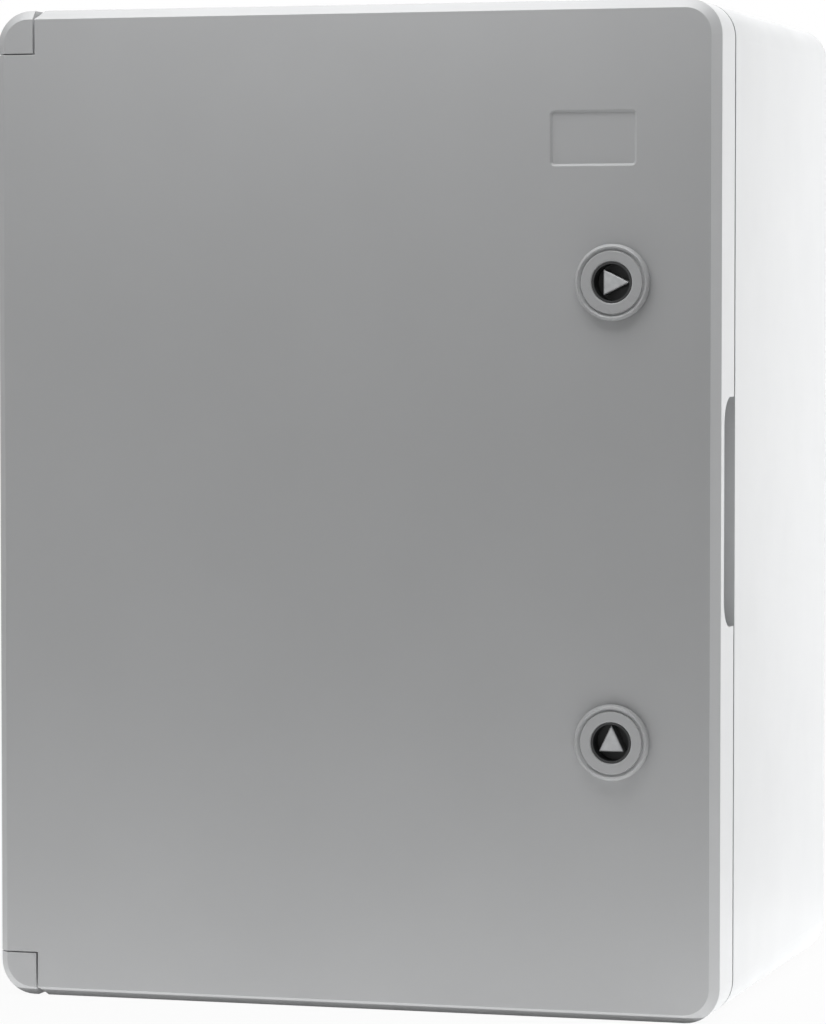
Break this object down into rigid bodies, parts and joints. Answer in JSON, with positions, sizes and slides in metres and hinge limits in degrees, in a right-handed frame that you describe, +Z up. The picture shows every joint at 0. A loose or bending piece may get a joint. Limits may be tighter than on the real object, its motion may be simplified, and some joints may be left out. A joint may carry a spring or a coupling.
{
  "type": "junction box",
  "caption": "Wall box of grey plastic with a hinged door, two triangular-key quarter-turn locks, a sealing collar and a steel mounting plate.",
  "frame": {"origin": "under the middle of the box's overall depth and width, at the level of its bottom", "axes": "+Z up the box's height, -Y out of the door, +X to the lock side"},
  "size_m": [0.3, 0.223, 0.4],
  "materials": {
    "abs": "moulded ABS, light grey, fine satin",
    "gasket_foam": "foamed seal, matt",
    "plate_steel": "zinc plated sheet",
    "screw_steel": "zinc plated, bright",
    "brass": "turned",
    "bezel_plastic": "moulded polyamide, satin",
    "black_plastic": "moulded polyamide, black",
    "zinc_casting": "zinc casting, matt"
  },
  "bodies": {
    "case": {"body_shell": "abs", "boss_inserts": "brass", "mounting_plate": "plate_steel", "plate_screws": "screw_steel", "hinge_blocks": "abs", "hinge_pins": "screw_steel", "hinge_block_screws": "screw_steel"},
    "door": {"door": "abs", "door_gasket": "gasket_foam", "lock_housings": "bezel_plastic", "lock_seals": "gasket_foam", "lock_nuts": "bezel_plastic"},
    "lock_upper": {"lock_rotor_upper": "black_plastic", "lock_spindle_upper": "zinc_casting", "lock_cam_upper": "plate_steel", "cam_washer_upper": "screw_steel", "cam_screw_upper": "screw_steel"},
    "lock_lower": {"lock_rotor_lower": "black_plastic", "lock_spindle_lower": "zinc_casting", "lock_cam_lower": "plate_steel", "cam_washer_lower": "screw_steel", "cam_screw_lower": "screw_steel"}
  },
  "joints": [
    {"name": "door_hinge", "type": "hinge", "parent": "case", "child": "door", "pos_m": [-0.1445, -0.0935, 0.2], "axis": [0, 0, -1], "range_deg": [0, 120]},
    {"name": "lock_upper_turn", "type": "hinge", "parent": "door", "child": "lock_upper", "pos_m": [0.1075, -0.1085, 0.29], "axis": [0, 1, 0], "range_deg": [0, 90]},
    {"name": "lock_lower_turn", "type": "hinge", "parent": "door", "child": "lock_lower", "pos_m": [0.1075, -0.1085, 0.11], "axis": [0, 1, 0], "range_deg": [0, 90]}
  ]
}
